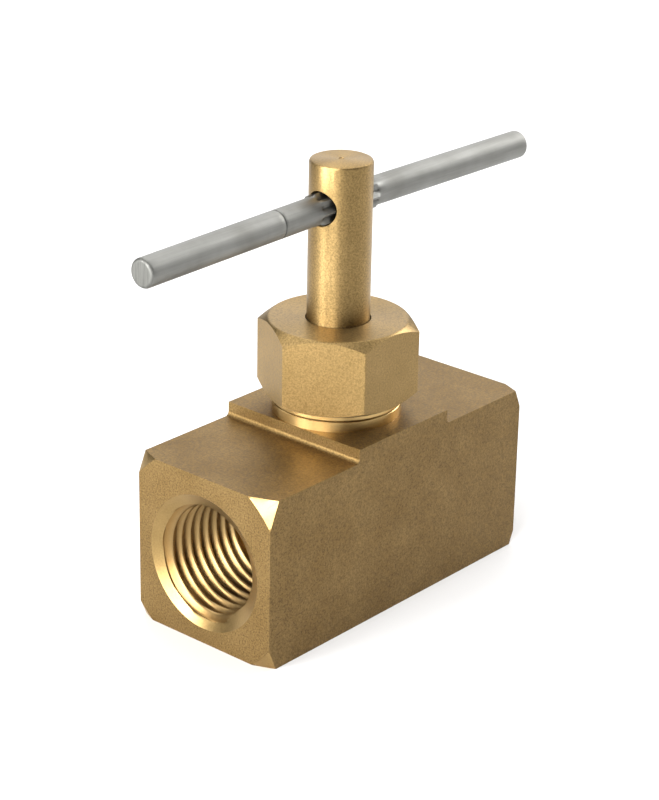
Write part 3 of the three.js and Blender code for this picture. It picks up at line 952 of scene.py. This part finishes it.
# Painted shade: the ends and their rounded rims take the darker cut finish.
for face in bar.data.polygons:
    face.material_index = CUT_AND_SHADED if abs(face.normal.x) > CUT_AND_SHADED_SLOPE else DRAWN
smooth_round(bar, 40)
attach(bar, "spindle")
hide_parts("tee_bar")

# %% [markdown]
# ## The rings inside the packing box
#
# A flanged gland, two packing rings, a washer and one round rubber ring seal the stem. They are
# out of sight, but the valve comes apart for repacking, so they are made as they would be found
# on the bench: turned, with broken edges.

# %% The hidden rings
RING_EDGE = 0.08


def square_ring(name, inner, outer, low, high):
    """A ring of square section with its four edges broken."""
    edge = RING_EDGE
    section = [
        (inner + edge, low), (outer - edge, low), (outer, low + edge), (outer, high - edge),
        (outer - edge, high), (inner + edge, high), (inner, high - edge), (inner, low + edge),
    ]
    return turned_ring(name, section)


def finish_ring(piece, node, body_name, finish):
    """Gives a ring its finish, attaches it to its body and hides the CAD node it replaces."""
    piece.data.materials.append(finish)
    smooth_round(piece)
    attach(piece, body_name)
    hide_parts(node)


PACKED_BORE = 3.56
PACKING_SQUEEZE = 0.05
for number in (1, 2):
    low, high = across(f"packing_ring_{number}")
    inner = PACKED_BORE - PACKING_SQUEEZE
    packing = square_ring(f"white_ring_{number}", inner, high.x, low.z, high.z)
    finish_ring(packing, f"packing_ring_{number}", "valve", white_packing)

low, high = across("packing_washer")
washer = square_ring("box_washer", PACKED_BORE, high.x, low.z, high.z)
finish_ring(washer, "packing_washer", "valve", turned_brass)

GLAND_NOSE_RADIUS = 4.8
GLAND_FLANGE_BOTTOM = 29.3
low, high = across("gland_follower")
gland = turned_ring("flanged_gland", [
    (PACKED_BORE, low.z),
    (GLAND_NOSE_RADIUS - RING_EDGE, low.z),
    (GLAND_NOSE_RADIUS, low.z + RING_EDGE),
    (GLAND_NOSE_RADIUS, GLAND_FLANGE_BOTTOM),
    (high.x, GLAND_FLANGE_BOTTOM),
    (high.x, high.z - RING_EDGE),
    (high.x - RING_EDGE, high.z),
    (PACKED_BORE + RING_EDGE, high.z),
    (PACKED_BORE, high.z - RING_EDGE),
])
finish_ring(gland, "gland_follower", "valve", turned_brass)

O_RING_SECTION = 0.68
O_RING_STEPS = 24
low, high = across("stem_o_ring")
middle = (low.z + high.z) / 2
centre = high.x - O_RING_SECTION
round_section = []
for step in range(O_RING_STEPS):
    angle = TURN * step / O_RING_STEPS
    radius = centre + O_RING_SECTION * math.cos(angle)
    round_section.append((radius, middle + O_RING_SECTION * math.sin(angle)))
o_ring = turned_ring("rubber_stem_ring", round_section)
finish_ring(o_ring, "stem_o_ring", "lift", black_rubber)

# %% [markdown]
# ## Floor, light and camera
#
# Metal shows its surroundings more than itself, so the light matters as much as the finish. The
# valve stands on a pale floor. Soft lights stand round it: the strongest is low on the left, in
# front of the inlet, and the two largest stand behind. The others are smaller, and give the
# stem, the nut's flats and the threads something to reflect. The camera looks down a little from
# the inlet's corner.

# %% The floor and the light
scene.view_settings.view_transform = "Standard"
FLOOR_HALF = 1.5
WORLD_LIGHT = 0.04
# Name, azimuth and elevation in degrees, distance and size in metres, power in watts.
LIGHTS = (
    ("left_low", -108, 14, 0.7, 0.28, 6.6),
    ("front_left_low", -72, 14, 0.7, 0.26, 2.4),
    ("front_left", -70, 30, 0.7, 0.30, 1.8),
    ("left_small", -85, 24, 0.7, 0.18, 1.5),
    ("overhead", -60, 72, 0.7, 0.30, 0.9),
    ("rear_left_high", -150, 42, 0.7, 0.35, 1.2),
    ("right", 80, 30, 0.7, 0.30, 3.4),
    ("right_high", 38, 42, 0.7, 0.35, 0.6),
    ("behind_low", 130, 25, 0.8, 0.5, 1.4),
    ("behind_high", 130, 65, 0.8, 0.6, 3.6),
)


def soft_light(name, azimuth, elevation, distance, size, power):
    """A square soft light round the valve. Azimuth 0 is in front (-Y), and positive goes to +X."""
    lamp = bpy.data.lights.new(name, "AREA")
    lamp.size = size
    lamp.energy = power
    stand = bpy.data.objects.new(name, lamp)
    a, e = math.radians(azimuth), math.radians(elevation)
    towards = Vector((math.sin(a) * math.cos(e), -math.cos(a) * math.cos(e), math.sin(e)))
    stand.location = towards * distance
    stand.rotation_mode = "QUATERNION"
    stand.rotation_quaternion = towards.to_track_quat("Z", "Y")
    scene.collection.objects.link(stand)


def pale_floor():
    """A large flat floor with a matt, slightly uneven finish."""
    bm = bmesh.new()
    half = FLOOR_HALF
    corners = ((-half, -half), (half, -half), (half, half), (-half, half))
    bm.faces.new([bm.verts.new((x / MM, y / MM, 0)) for x, y in corners])
    floor = piece_from("floor", bm)
    made = Finish("pale_floor")
    clouds = made.noise(0.004, detail=2)
    made.join(made.ramp(clouds, [(0.3, (0.75, 0.75, 0.75)), (0.7, (0.79, 0.79, 0.79))]),
              made.shader.inputs["Base Color"])
    made.shader.inputs["Roughness"].default_value = 0.9
    floor.data.materials.append(made.material)
    return floor


pale_floor()
for light in LIGHTS:
    soft_light(*light)
world = bpy.data.worlds.new("studio")
scene.world = world
world.use_nodes = True
world.node_tree.nodes["Background"].inputs["Color"].default_value = (1, 1, 1, 1)
world.node_tree.nodes["Background"].inputs["Strength"].default_value = WORLD_LIGHT

# %% The camera
# Angles in degrees, the lens and distances in millimetres.
LENS = 109.49
VIEW_AZIMUTH = -49.401
VIEW_ELEVATION = 22.978
VIEW_ROLL = 1.138
VIEW_DISTANCE = 264.5
VIEW_TARGET = Vector((-2.856, -1.437, 23.161))


def aim_camera():
    """Puts the camera round the valve and points it at the target."""
    azimuth, elevation = math.radians(VIEW_AZIMUTH), math.radians(VIEW_ELEVATION)
    flat = math.cos(elevation)
    back = Vector((math.sin(azimuth) * flat, -math.cos(azimuth) * flat, math.sin(elevation)))
    camera = bpy.data.objects.new("camera", bpy.data.cameras.new("camera"))
    camera.data.lens = LENS
    camera.data.clip_start = 0.01
    camera.location = (VIEW_TARGET + back * VIEW_DISTANCE) * MM
    camera.rotation_mode = "QUATERNION"
    roll = Quaternion((0, 0, 1), math.radians(VIEW_ROLL))
    camera.rotation_quaternion = (-back).to_track_quat("-Z", "Y") @ roll
    scene.collection.objects.link(camera)
    scene.camera = camera


aim_camera()
